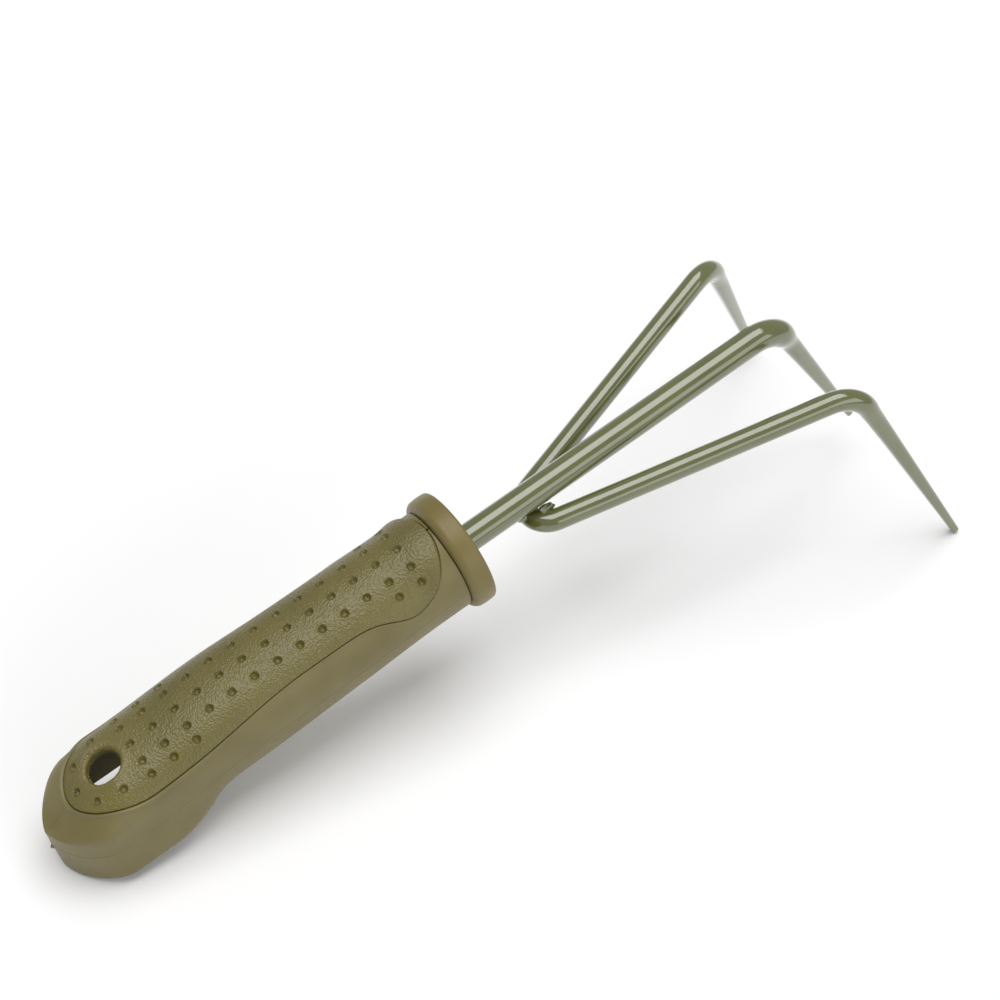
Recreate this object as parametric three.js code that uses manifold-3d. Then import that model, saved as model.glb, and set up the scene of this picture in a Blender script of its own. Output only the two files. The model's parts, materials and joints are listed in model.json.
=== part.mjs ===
// Three-tine hand cultivator with a moulded plastic handle and a soft grip pad.
//
// Millimetres, +Z up. The tool lies as it rests on a table: on the rear edge of its hollow pommel
// and on the tips of its two outer tines. +X runs from the pommel towards the tines, +Y is the
// tool's left, and the origin is the middle of the underside of its bounding box.
//
// The pieces are made in the tool's own axes, x along the straight shaft with 0 on the front face
// of the collar, y to the left and z towards the grip pad, and the whole tool is then tilted.

import * as THREE from "three";
import { mergeVertices } from "three/addons/utils/BufferGeometryUtils.js";
import Module from "manifold-3d";

const wasm = await Module();
wasm.setup();

// ---------------------------------------------------------------- driving dimensions

const GAP = 0.3; // clearance between neighbouring pieces

// Steel
const SHAFT_RADIUS = 4.1; // 8 mm bar and its paint
const SIDE_RADIUS = 3.15; // 6 mm bar and its paint
const SHAFT_BEND_X = 110.6; // where the shaft's line meets its tine's line
const CENTRE_TINE = new THREE.Vector3(24.3, 0, -64); // from that corner to the tine's tip
const SIDE_BEND = new THREE.Vector3(112.8, 32.3, -2.4); // the same corner of an outer bar
const SIDE_TINE = new THREE.Vector3(21.8, 15.6, -73.2);
const CENTRE_BEND_RADIUS = 13;
const SIDE_BEND_RADIUS = 11;
const CENTRE_ROOT = 0.78; // share of the bar's radius that is left at the root of its tine
const SIDE_ROOT = 0.95;
const TIP_RADIUS = 1.25;
const NOSE_RADIUS = 7.2; // hairpin of the outer bar under the shaft
const NOSE_Z = -(SHAFT_RADIUS + SIDE_RADIUS + GAP);
const SPREAD = THREE.MathUtils.degToRad(16.5); // between the shaft and each outer arm
const WELD_REAR = new THREE.Vector3(2.6, 2.6, 2); // half sizes of the weld beads
const WELD_SIDE = new THREE.Vector3(3.4, 1.8, 1.9);
const TANG_END_X = -72; // hidden inner end of the shaft
const TANG_FLAT = 2.9; // half thickness across its two flats
const TANG_FLAT_LENGTH = 18;

// Collar
const COLLAR_RADIUS = 17.1;
const COLLAR_LENGTH = 7;
const COLLAR_EDGE = 2.2;
const COLLAR_WEB = 2.6; // thickness of its front wall
const SPIGOT_RADIUS = 11.5;

// Handle: distances run back from the collar's front face
const NECK_START = COLLAR_LENGTH + GAP;
const HANDLE_LENGTH = 134.2;
const NECK_HALF_WIDTH = 14.8;
const GRIP_HALF_WIDTH = 15.35;
const POMMEL_HALF_WIDTH = 14.9;
const POMMEL_FLARE = 1.8; // how much wider the skirt is at its foot, each side
const PLAN_ROUND_START = 119.7; // where the rounded end of the pommel's outline begins
const PLAN_ROUND = 1.62; // exponent of that rounding
const DOME_START = 112; // where the top begins to fall away
const DOME_ROUND = 1.24;
const REAR_LEAN = 0.8; // the end wall leans forward by this much at the axis
const TOP_NECK = 14.7; // height of the top above the shaft's axis at the neck
const TOP_GRIP = 13.8; // in the middle of the grip
const TOP_POMMEL = 10.4; // beside the hanging hole
const TOP_END = -2.6; // where the top meets the end wall
const BOTTOM_NECK = 15.1;
const BOTTOM_GRIP = 16.4;
const UPPER_SQUARE = 2.4; // squareness of the sections' upper and lower halves
const LOWER_SQUARE = 2.55;
const SKIRT_SQUARE = 12;
const FOOT_DEPTH = 16.8; // flat foot of the pommel below the axis
const SKIRT_START = 83;
const SKIRT_END = 106;
const WALL = 1.7; // wall of the hollow pommel
const CAVITY_START = 100;
const CAVITY_FRONT = 0.76; // share of the hollow's width at its front end
const CAVITY_END_TOP = -7; // ceiling of the hollow at its rear end

// Hanging hole
const HOLE_BACK = 112;
const HOLE_RADIUS = 4.7;

// The shaft rises towards the tines until the pommel's foot and the outer tips are level.
const TILT = Math.atan2(
  -(SIDE_BEND.z + SIDE_TINE.z) - FOOT_DEPTH,
  HANDLE_LENGTH + SIDE_BEND.x + SIDE_TINE.x,
);

// Grip pad
const PAD_START = 7.9;
const PAD_FRONT_FULL = 16.8; // its front end is rounded up to here
const PAD_REAR_FULL = 104; // and its rear end from here
const PAD_REAR_ROUND = 2.4;
const PAD_END = 124.5;
const PAD_THICKNESS = 1.5;
const PAD_PROUD = 0.25;
const PAD_HALF_ANGLE = 50.5; // degrees from the top along the grip
const PAD_POMMEL_ANGLE = 68.5; // beside the pommel
const PAD_LOBE_ANGLE = 20.5; // added by the thumb lobe beside the neck
const PAD_LOBE_BACK = 22.5;
const PAD_LOBE_LENGTH = 9;
const DIMPLE_RADIUS = 1.05;
const DIMPLE_DEPTH = 0.5;
const DIMPLE_PITCH = 7.14;
const DIMPLE_FIRST = 17.5;
const DIMPLE_RINGS = 13;
const DIMPLE_WIDE_RINGS = 2; // rings at each end that have outer rows too
const DIMPLE_ROWS = [-10.1, -6.1, 0, 6.1, 10.1]; // distances of the rows from the middle

const ROUND = 32; // points round a handle section
const BAR_SIDES = 16;

// ---------------------------------------------------------------- helpers

const { smoothstep, lerp, degToRad } = THREE.MathUtils;

const plastic = (colour, roughness) =>
  new THREE.MeshStandardMaterial({ color: colour, roughness, metalness: 0 });

function closed(geometry) {
  const bare = geometry.clone();
  bare.deleteAttribute("normal");
  bare.deleteAttribute("uv");
  return mergeVertices(bare, 1e-4);
}

function solid(geometry) {
  const merged = closed(geometry);
  return new wasm.Manifold(
    new wasm.Mesh({
      numProp: 3,
      vertProperties: Float32Array.from(merged.attributes.position.array),
      triVerts: Uint32Array.from(merged.index.array),
    }),
  );
}

function piece(name, manifold, material) {
  const { vertProperties, triVerts } = manifold.getMesh();
  const geometry = new THREE.BufferGeometry();
  geometry.setAttribute("position", new THREE.BufferAttribute(vertProperties, 3));
  geometry.setIndex(new THREE.BufferAttribute(triVerts, 1));
  geometry.computeVertexNormals();
  const mesh = new THREE.Mesh(geometry, material);
  mesh.name = name;
  return mesh;
}

// A closed skin over rings of points. The rings run so that their points turn
// anticlockwise when seen from the end that the rings run towards.
function skin(rings) {
  const count = rings[0].length;
  const positions = [];
  const index = [];
  for (const ring of rings) {
    for (const point of ring) positions.push(point.x, point.y, point.z);
  }
  for (let i = 0; i + 1 < rings.length; i += 1) {
    for (let j = 0; j < count; j += 1) {
      const here = i * count + j;
      const next = i * count + ((j + 1) % count);
      index.push(here, next, next + count, here, next + count, here + count);
    }
  }
  for (const [ring, last] of [[0, false], [rings.length - 1, true]]) {
    const centre = new THREE.Vector3();
    for (const point of rings[ring]) centre.addScaledVector(point, 1 / count);
    const middle = positions.length / 3;
    positions.push(centre.x, centre.y, centre.z);
    for (let j = 0; j < count; j += 1) {
      const here = ring * count + j;
      const next = ring * count + ((j + 1) % count);
      if (last) index.push(middle, here, next);
      else index.push(middle, next, here);
    }
  }
  const geometry = new THREE.BufferGeometry();
  geometry.setAttribute("position", new THREE.Float32BufferAttribute(positions, 3));
  geometry.setIndex(index);
  return geometry;
}

// A cylinder along x from x0 to x1.
function rod(x0, x1, radius, sides) {
  const geometry = new THREE.CylinderGeometry(radius, radius, x1 - x0, sides);
  geometry.rotateZ(-Math.PI / 2);
  geometry.translate((x0 + x1) / 2, 0, 0);
  return solid(geometry);
}

// ---------------------------------------------------------------- handle sections

// Share of a size that is left at a distance back, where it falls to nothing at the handle's end.
function rounded(back, start, end, power) {
  const turn = THREE.MathUtils.clamp((back - start) / (end - start), 0, 1);
  return Math.pow(1 - Math.pow(turn, power), 1 / power);
}

// Half width, top, bottom and squareness of the handle at a distance back from the collar's face.
function sectionAt(back) {
  const tail = smoothstep(back, 70, 105);
  const skirt = smoothstep(back, SKIRT_START, SKIRT_END);
  const grip = lerp(NECK_HALF_WIDTH, GRIP_HALF_WIDTH, smoothstep(back, 14, 40));
  const crown = lerp(TOP_NECK, TOP_GRIP, smoothstep(back, 10, 60));
  const top = lerp(crown, TOP_POMMEL, smoothstep(back, 70, 120));
  const belly = smoothstep(back, 20, 88);
  const plan = rounded(back, PLAN_ROUND_START, HANDLE_LENGTH, PLAN_ROUND);
  return {
    width: lerp(grip, POMMEL_HALF_WIDTH, tail) * plan,
    top: Math.max(0.3, lerp(TOP_END, top, rounded(back, DOME_START, HANDLE_LENGTH, DOME_ROUND))),
    bottom: lerp(lerp(BOTTOM_NECK, BOTTOM_GRIP, belly), FOOT_DEPTH + 1, skirt), // cut at FOOT_DEPTH
    upper: lerp(2, UPPER_SQUARE, smoothstep(back, 15, 110)),
    lower: lerp(lerp(2, LOWER_SQUARE, belly), SKIRT_SQUARE, skirt * skirt),
    flare: (POMMEL_FLARE / POMMEL_HALF_WIDTH) * skirt,
    lean: REAR_LEAN * Math.max(0, (back - PLAN_ROUND_START) / (HANDLE_LENGTH - PLAN_ROUND_START)) ** 2,
  };
}

// One section as a ring of points, grown outwards by "offset".
function sectionRing(back, offset) {
  const { width, top, bottom, upper, lower, flare, lean } = sectionAt(back);
  const ring = [];
  for (let i = 0; i < ROUND; i += 1) {
    const angle = (2 * Math.PI * i) / ROUND;
    const cos = Math.cos(angle);
    const sin = Math.sin(angle);
    const power = 2 / (sin >= 0 ? upper : lower);
    const height = sin >= 0 ? top : bottom;
    const z = Math.sign(sin) * Math.pow(Math.abs(sin), power) * Math.max(0.05, height + offset);
    const wide = 1 + flare * THREE.MathUtils.clamp(-z / FOOT_DEPTH, 0, 1);
    const y = -Math.sign(cos) * Math.pow(Math.abs(cos), power) * Math.max(0.05, width + offset) * wide;
    ring.push(new THREE.Vector3((lean * (z + FOOT_DEPTH)) / FOOT_DEPTH - back, y, z));
  }
  return ring;
}

// Distances of the sections: even along the grip, closing up round the end.
function stations(first, offset) {
  const list = [];
  const even = 22;
  for (let i = 0; i < even; i += 1) {
    list.push(lerp(first, PLAN_ROUND_START, i / even));
  }
  const end = 9;
  for (let i = 0; i <= end; i += 1) {
    const turn = Math.sin((Math.PI / 2) * (i / end));
    list.push(PLAN_ROUND_START + turn * (HANDLE_LENGTH - 0.02 - PLAN_ROUND_START));
  }
  return list.map((back) => ({ back, shift: back > PLAN_ROUND_START ? offset : 0 }));
}

// The whole handle, grown outwards by "offset" everywhere but on its front face.
function handleBody(first, offset) {
  const rings = stations(first, offset).map(({ back, shift }) => {
    const ring = sectionRing(back, offset);
    const turn = Math.max(0, back - PLAN_ROUND_START) / (HANDLE_LENGTH - PLAN_ROUND_START);
    for (const point of ring) point.x -= shift * turn;
    return ring;
  });
  return solid(skin(rings));
}

// ---------------------------------------------------------------- grip pad outline

// Distance of the handle's skin from the shaft's axis, at an angle from the top.
function skinReach(back, angle) {
  const { width, top, upper } = sectionAt(back);
  const across = Math.pow(Math.abs(Math.sin(angle)) / width, upper);
  return Math.pow(across + Math.pow(Math.cos(angle) / top, upper), -1 / upper);
}

// Angle from the top, in radians, of the skin's point that is "side" to the side of the middle.
function angleAt(back, side) {
  const { width, top, upper } = sectionAt(back);
  const inside = Math.max(0, 1 - Math.pow(Math.abs(side) / width, upper));
  return Math.atan2(side, top * Math.pow(inside, 1 / upper));
}

// Half angle of the pad from the top, in radians, at a distance back from the collar's face.
function padHalfAngle(back) {
  const side = lerp(PAD_HALF_ANGLE, PAD_POMMEL_ANGLE, smoothstep(back, 56, 108));
  const lobe = PAD_LOBE_ANGLE * Math.exp(-Math.pow((back - PAD_LOBE_BACK) / PAD_LOBE_LENGTH, 2));
  const front = Math.max(0, (PAD_FRONT_FULL - back) / (PAD_FRONT_FULL - PAD_START));
  const wide = degToRad(side + lobe) * Math.sqrt(Math.max(0, 1 - front ** 2));
  const reach = skinReach(back, wide) * Math.sin(wide);
  return angleAt(back, reach * rounded(back, PAD_REAR_FULL, PAD_END, PAD_REAR_ROUND));
}

// A wedge-shaped cutter that follows the pad's outline, grown by "grow" millimetres.
function padCutter(grow) {
  const reach = 30;
  const steps = 34;
  const arc = 8;
  const rings = [];
  for (let i = 0; i <= steps; i += 1) {
    const turn = 0.5 - 0.5 * Math.cos((Math.PI * i) / steps);
    const back = lerp(PAD_START + 0.02, PAD_END - 0.02, turn);
    const half = Math.max(0.01, padHalfAngle(back)) + grow / GRIP_HALF_WIDTH;
    const x = -(back + grow * (2 * turn - 1));
    const ring = [new THREE.Vector3(x, 0, -1.5)];
    for (let j = 0; j <= arc; j += 1) {
      const angle = lerp(-half, half, j / arc);
      ring.push(new THREE.Vector3(x, reach * Math.sin(angle), reach * Math.cos(angle) - 1.5));
    }
    rings.push(ring);
  }
  return solid(skin(rings));
}

// ---------------------------------------------------------------- moulded pieces

function belowFoot() {
  const geometry = new THREE.BoxGeometry(2 * HANDLE_LENGTH, 80, 20);
  geometry.translate(-HANDLE_LENGTH, 0, -FOOT_DEPTH - 10);
  return solid(geometry);
}

const outer = handleBody(NECK_START, 0).subtract(belowFoot());
const padded = handleBody(NECK_START, PAD_PROUD);
const padSeat = handleBody(NECK_START, -PAD_THICKNESS);
const padInside = handleBody(NECK_START, GAP - PAD_THICKNESS);

function holeCutter(radius) {
  const geometry = new THREE.CylinderGeometry(radius, radius, 60, 24);
  geometry.rotateX(Math.PI / 2);
  geometry.translate(-HOLE_BACK, 0, 10);
  return solid(geometry);
}

// The pommel is a shell that is open underneath: walls, a top plate and a slanted front wall.
function pommelCavity() {
  const rings = [];
  const steps = 18;
  const deepest = HANDLE_LENGTH - WALL;
  for (let i = 0; i <= steps; i += 1) {
    const back = lerp(CAVITY_START, deepest - 0.02, Math.sin((Math.PI / 2) * (i / steps)));
    const round = rounded(back, PLAN_ROUND_START - WALL, deepest, PLAN_ROUND);
    const ramp = smoothstep(back, CAVITY_START, CAVITY_START + 9);
    const share = round * lerp(CAVITY_FRONT, 1, ramp);
    const nose = Math.max(0.3, (POMMEL_HALF_WIDTH - WALL) * share);
    const foot = Math.max(0.3, (POMMEL_HALF_WIDTH + POMMEL_FLARE - WALL) * share);
    const dome = sectionAt(Math.min(back + WALL, HANDLE_LENGTH)).top;
    const crown = Math.min(dome, TOP_POMMEL) - 2 * WALL - PAD_THICKNESS;
    const ceiling = lerp(-12, Math.max(crown, CAVITY_END_TOP), ramp);
    const shoulder = Math.min(5, nose * 0.6);
    rings.push(
      [
        [-foot, -FOOT_DEPTH - 4],
        [-foot, -FOOT_DEPTH],
        [-nose, ceiling - shoulder],
        [shoulder - nose, ceiling],
        [nose - shoulder, ceiling],
        [nose, ceiling - shoulder],
        [foot, -FOOT_DEPTH],
        [foot, -FOOT_DEPTH - 4],
      ].map(([y, z]) => new THREE.Vector3(-back, y, z)),
    );
  }
  return solid(skin(rings));
}

function handleCore() {
  const spigot = rod(-(NECK_START + 1), -(COLLAR_WEB + GAP), SPIGOT_RADIUS, 32);
  const socket = rod(TANG_END_X - 2, 1, SHAFT_RADIUS + GAP, 20);
  const seat = padCutter(GAP).subtract(padSeat);
  return outer
    .add(spigot)
    .subtract(seat)
    .subtract(socket)
    .subtract(pommelCavity())
    .subtract(holeCutter(HOLE_RADIUS));
}

// A shallow round dimple at an angle from the top of the pad.
function dimple(back, angle) {
  const sin = Math.sin(angle);
  const cos = Math.cos(angle);
  const reach = skinReach(back, angle) + PAD_PROUD;
  const lift = (DIMPLE_RADIUS * DIMPLE_RADIUS - DIMPLE_DEPTH * DIMPLE_DEPTH) / (2 * DIMPLE_DEPTH);
  const ball = lift + DIMPLE_DEPTH;
  const geometry = new THREE.SphereGeometry(ball, 8, 10);
  geometry.translate(-back, (reach + lift) * sin, (reach + lift) * cos);
  return solid(geometry);
}

// Rows of dimples along the pad; the outer rows keep clear of the pad's edge and of the hole.
function dimples() {
  const clear = 3.2;
  const balls = [];
  for (let ring = 0; ring < DIMPLE_RINGS; ring += 1) {
    const back = DIMPLE_FIRST + ring * DIMPLE_PITCH;
    const end = Math.min(ring, DIMPLE_RINGS - 1 - ring) < DIMPLE_WIDE_RINGS;
    for (const side of end ? DIMPLE_ROWS : DIMPLE_ROWS.slice(1, -1)) {
      const angle = angleAt(back, side);
      const edge = (padHalfAngle(back) - Math.abs(angle)) * GRIP_HALF_WIDTH;
      if (edge > clear && Math.hypot(back - HOLE_BACK, side) > HOLE_RADIUS + clear) {
        balls.push(dimple(back, angle));
      }
    }
  }
  return balls;
}

function gripPad() {
  let pad = padded.intersect(padCutter(0)).subtract(padInside);
  pad = pad.subtract(holeCutter(HOLE_RADIUS));
  for (const ball of dimples()) pad = pad.subtract(ball);
  return pad;
}

// A stepped ring: the rear of it fits over the spigot of the handle.
function collar() {
  const profile = new THREE.Shape();
  const hole = SHAFT_RADIUS + GAP;
  const bore = SPIGOT_RADIUS + GAP;
  profile.moveTo(hole, 0);
  profile.lineTo(hole, -COLLAR_WEB);
  profile.lineTo(bore, -COLLAR_WEB);
  profile.lineTo(bore, -COLLAR_LENGTH);
  profile.lineTo(COLLAR_RADIUS - COLLAR_EDGE, -COLLAR_LENGTH);
  profile.absarc(COLLAR_RADIUS - COLLAR_EDGE, COLLAR_EDGE - COLLAR_LENGTH, COLLAR_EDGE, -Math.PI / 2, 0);
  profile.absarc(COLLAR_RADIUS - COLLAR_EDGE, -COLLAR_EDGE, COLLAR_EDGE, 0, Math.PI / 2);
  profile.closePath();
  const geometry = new THREE.LatheGeometry(profile.getPoints(4), 40);
  geometry.rotateZ(-Math.PI / 2);
  return solid(geometry);
}

// ---------------------------------------------------------------- steel pieces

// A straight run, a rounded corner and another straight run through three points.
function cornered(path, from, corner, to, radius) {
  const back = corner.clone().sub(from).normalize();
  const on = to.clone().sub(corner).normalize();
  const half = Math.acos(THREE.MathUtils.clamp(back.dot(on), -1, 1)) / 2;
  const inward = on.clone().sub(back).normalize();
  const centre = corner.clone().addScaledVector(inward, radius / Math.cos(half));
  path.push(from.clone());
  const steps = 9;
  for (let i = 0; i <= steps; i += 1) {
    const angle = lerp(-half, half, i / steps);
    const along = back.clone().add(on).normalize();
    path.push(
      centre
        .clone()
        .addScaledVector(inward, -radius * Math.cos(angle))
        .addScaledVector(along, radius * Math.sin(angle)),
    );
  }
}

// A round bar whose middle line goes through the given points, with a radius for each point.
// The frame is carried along without twisting, and domed ends close the bar.
function bar(points, radiusAt) {
  const rings = [];
  const side = new THREE.Vector3(0, 1, 0);
  const lengths = [0];
  for (let i = 1; i < points.length; i += 1) {
    lengths.push(lengths[i - 1] + points[i].distanceTo(points[i - 1]));
  }
  const total = lengths[lengths.length - 1];
  for (let i = 0; i < points.length; i += 1) {
    const before = points[Math.max(0, i - 1)];
    const after = points[Math.min(points.length - 1, i + 1)];
    const forward = after.clone().sub(before).normalize();
    side.addScaledVector(forward, -side.dot(forward)).normalize();
    const up = forward.clone().cross(side);
    const radius = radiusAt(lengths[i], total);
    const ring = [];
    for (let j = 0; j < BAR_SIDES; j += 1) {
      const angle = (2 * Math.PI * j) / BAR_SIDES;
      ring.push(
        points[i]
          .clone()
          .addScaledVector(side, radius * Math.cos(angle))
          .addScaledVector(up, radius * Math.sin(angle)),
      );
    }
    rings.push(ring);
  }
  return solid(skin(rings));
}

// Adds a domed end: two more rings past the last point, closer together as they shrink.
function domed(points, radius) {
  const last = points[points.length - 1];
  const forward = last.clone().sub(points[points.length - 2]).normalize();
  const base = last.clone().addScaledVector(forward, -radius);
  points[points.length - 1] = base;
  for (const turn of [30, 60, 85]) {
    points.push(base.clone().addScaledVector(forward, radius * Math.sin(degToRad(turn))));
  }
  return points;
}

// Radius of a bar that narrows over the length of its tine and ends in a small dome.
function taper(full, root, tine, grow = 0) {
  return (distance, total) => {
    const left = total - distance;
    const along = THREE.MathUtils.clamp(1 - left / tine, 0, 1);
    const straight = along <= 0 ? full : lerp(root, TIP_RADIUS, along);
    const blend = lerp(full, straight, smoothstep(along, 0, 0.12));
    const dome = Math.sqrt(Math.max(0.02, 1 - Math.pow(Math.max(0, 1 - left / TIP_RADIUS), 2)));
    return blend * Math.max(0.12, dome) + grow;
  };
}

const shaftCorner = new THREE.Vector3(SHAFT_BEND_X, 0, 0);
const shaftTip = shaftCorner.clone().add(CENTRE_TINE);

function shaftBar(grow = 0) {
  const path = [];
  const start = new THREE.Vector3(TANG_END_X, 0, 0);
  cornered(path, start, shaftCorner, shaftTip, CENTRE_BEND_RADIUS);
  path.push(shaftTip.clone());
  domed(path, TIP_RADIUS);
  return bar(path, taper(SHAFT_RADIUS, SHAFT_RADIUS * CENTRE_ROOT, CENTRE_TINE.length() - 4, grow));
}

// The shaft, its hidden end squashed to two flats so that it can't turn in the handle.
function centreTine() {
  let shape = shaftBar();
  for (const side of [-1, 1]) {
    const block = new THREE.BoxGeometry(TANG_FLAT_LENGTH, 20, 4);
    block.translate(TANG_END_X + TANG_FLAT_LENGTH / 2 - 1, 0, side * (TANG_FLAT + 2));
    shape = shape.subtract(solid(block));
  }
  return shape;
}

// The outer bar is a hairpin: its arms leave the nose's arc at the angle SPREAD.
const NOSE_CENTRE_X = SIDE_BEND.x - SIDE_BEND.y / Math.tan(SPREAD) + NOSE_RADIUS / Math.sin(SPREAD);
const NOSE_X = NOSE_CENTRE_X - NOSE_RADIUS;

// Height of the bar's middle line: it climbs evenly from under the shaft to its corner.
const climb = (x) => lerp(NOSE_Z, SIDE_BEND.z, (x - NOSE_X) / (SIDE_BEND.x - NOSE_X));

// Half of the outer bar's middle line, from the hairpin's nose to the tip on one side.
function sideHalf(side) {
  const path = [];
  const steps = 8;
  for (let i = 0; i < steps; i += 1) {
    const angle = (Math.PI / 2 - SPREAD) * (i / steps);
    const x = NOSE_CENTRE_X - NOSE_RADIUS * Math.cos(angle);
    path.push(new THREE.Vector3(x, side * NOSE_RADIUS * Math.sin(angle), climb(x)));
  }
  const rootX = NOSE_CENTRE_X - NOSE_RADIUS * Math.sin(SPREAD);
  const root = new THREE.Vector3(rootX, side * NOSE_RADIUS * Math.cos(SPREAD), climb(rootX));
  const corner = new THREE.Vector3(SIDE_BEND.x, side * SIDE_BEND.y, SIDE_BEND.z);
  const tine = new THREE.Vector3(SIDE_TINE.x, side * SIDE_TINE.y, SIDE_TINE.z);
  const tip = corner.clone().add(tine);
  cornered(path, root, corner, tip, SIDE_BEND_RADIUS);
  path.push(tip);
  return domed(path, TIP_RADIUS);
}

function outerBar(grow = 0) {
  const right = sideHalf(-1);
  const left = sideHalf(1);
  const path = [...right.slice(1).reverse(), ...left];
  const narrow = taper(SIDE_RADIUS, SIDE_RADIUS * SIDE_ROOT, SIDE_TINE.length() - 4, 0);
  return bar(path, (distance, total) => {
    const nearest = Math.min(distance, total - distance);
    return narrow(total - nearest, total) + grow;
  });
}

// A weld bead fills the corner between the two bars, a little clear of both.
function bead(x, y, z, size) {
  const geometry = new THREE.SphereGeometry(1, 16, 10);
  geometry.scale(size.x, size.y, size.z);
  geometry.translate(x, y, z);
  return solid(geometry).subtract(shaftBar(GAP / 2)).subtract(outerBar(GAP / 2));
}

// ---------------------------------------------------------------- assembly

const bodyPlastic = plastic(0x5f5b2e, 0.55);
const collarPlastic = plastic(0x625b27, 0.5);
const padRubber = plastic(0x55501f, 0.7);
const paint = plastic(0x545e30, 0.22);

const tool = new THREE.Group();
tool.add(
  piece("handle_body", handleCore(), bodyPlastic),
  piece("grip_pad", gripPad(), padRubber),
  piece("collar", collar(), collarPlastic),
  piece("centre_tine", centreTine(), paint),
  piece("outer_tines", outerBar(), paint),
  piece("weld_rear", bead(NOSE_X - 2.6, 0, -5.8, WELD_REAR), paint),
  piece("weld_right", bead(NOSE_X + 5, -4.4, -5.4, WELD_SIDE), paint),
  piece("weld_left", bead(NOSE_X + 5, 4.4, -5.4, WELD_SIDE), paint),
);
tool.rotation.y = -TILT;

const cultivator = new THREE.Group();
cultivator.add(tool);
const extent = new THREE.Box3().setFromObject(cultivator, true);
const middle = extent.getCenter(new THREE.Vector3());
tool.position.set(-middle.x, -middle.y, -extent.min.z);

export default cultivator;
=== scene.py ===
"""Looks of a three-tine hand cultivator: moulded plastic handle, soft grip pad, painted steel bars.

Shapes are worked out in millimetres in the tool's own axes: x runs along the shaft towards the
tines with 0 on the collar's front face, y is the tool's left and z points to the grip pad.
Distances "back" run the other way, from the collar's front face to the end of the pommel.
"""

import json
import math

import bmesh
import bpy
import numpy as np
from mathutils import Matrix, Vector, noise

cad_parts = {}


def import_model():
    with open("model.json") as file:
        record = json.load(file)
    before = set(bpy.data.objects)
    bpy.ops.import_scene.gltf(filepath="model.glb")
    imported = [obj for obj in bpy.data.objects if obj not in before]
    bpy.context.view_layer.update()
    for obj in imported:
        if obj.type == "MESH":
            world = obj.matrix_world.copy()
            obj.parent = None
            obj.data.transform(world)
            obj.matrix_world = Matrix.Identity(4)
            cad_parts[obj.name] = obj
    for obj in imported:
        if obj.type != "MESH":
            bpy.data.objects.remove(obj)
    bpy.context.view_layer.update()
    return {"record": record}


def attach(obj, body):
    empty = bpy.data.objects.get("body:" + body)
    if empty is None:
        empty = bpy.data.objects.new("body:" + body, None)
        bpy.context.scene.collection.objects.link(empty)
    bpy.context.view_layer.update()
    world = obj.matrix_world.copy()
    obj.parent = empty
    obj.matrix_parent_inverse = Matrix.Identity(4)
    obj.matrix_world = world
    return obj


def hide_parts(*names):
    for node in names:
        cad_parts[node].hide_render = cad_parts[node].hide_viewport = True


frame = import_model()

MM = 0.001

# ---------------------------------------------------------------- tool axes, from the frame

FACE = next(m for m in frame["record"]["mounts"] if m["name"] == "collar_front")
FACE_HEIGHT = 9.5 * MM  # the mount's point lies this far above the shaft's axis
AXIS_X = np.array(FACE["axis"])
AXIS_Y = np.array([0.0, 1.0, 0.0])
AXIS_Z = np.cross(AXIS_X, AXIS_Y)
ORIGIN = np.array(FACE["pos_m"]) - FACE_HEIGHT * AXIS_Z


def in_frame(points):
    """Points in tool millimetres, as metres in the shared frame."""
    p = np.asarray(points, float) * MM
    return ORIGIN + p[..., :1] * AXIS_X + p[..., 1:2] * AXIS_Y + p[..., 2:3] * AXIS_Z


# ---------------------------------------------------------------- driving dimensions

GAP = 0.3

# Handle
NECK_START = 7.3
HANDLE_LENGTH = 134.2
NECK_HALF_WIDTH = 14.8
GRIP_HALF_WIDTH = 15.3
POMMEL_HALF_WIDTH = 14.8
POMMEL_FLARE = 1.85  # how much wider the skirt is at its foot, each side
PLAN_ROUND_START = 119.7  # where the rounded end of the pommel's outline begins
PLAN_ROUND = 1.62
DOME_START = 112.0  # where the top begins to fall away
DOME_ROUND = 1.23
REAR_LEAN = 0.8  # the end wall leans forward by this much at the axis
TOP_NECK = 14.75
TOP_GRIP = 13.9
TOP_POMMEL = 10.5
TOP_END = -2.6
BOTTOM_NECK = 15.1
BOTTOM_GRIP = 16.3
UPPER_SQUARE = 2.42  # squareness of the sections' upper and lower halves
LOWER_SQUARE = 2.56
SKIRT_SQUARE = 12.0
FOOT_DEPTH = 16.8
FOOT_EDGE = 0.8
SKIRT_START = 81.7
SKIRT_END = 108.0
WALL = 1.6
CAVITY_START = 101.5
CAVITY_END_TOP = -9.0  # ceiling of the hollow at its rear end
SPIGOT_RADIUS = 11.5
SPIGOT_END = 2.9
SOCKET_RADIUS = 4.4
SOCKET_END = 74.0
HOLE_BACK = 112.0
HOLE_RADIUS = 4.7
HOLE_ROLL = 1.2  # radius of the pad's rolled edge round the hole
HOLE_RIM = 0.35

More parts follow.
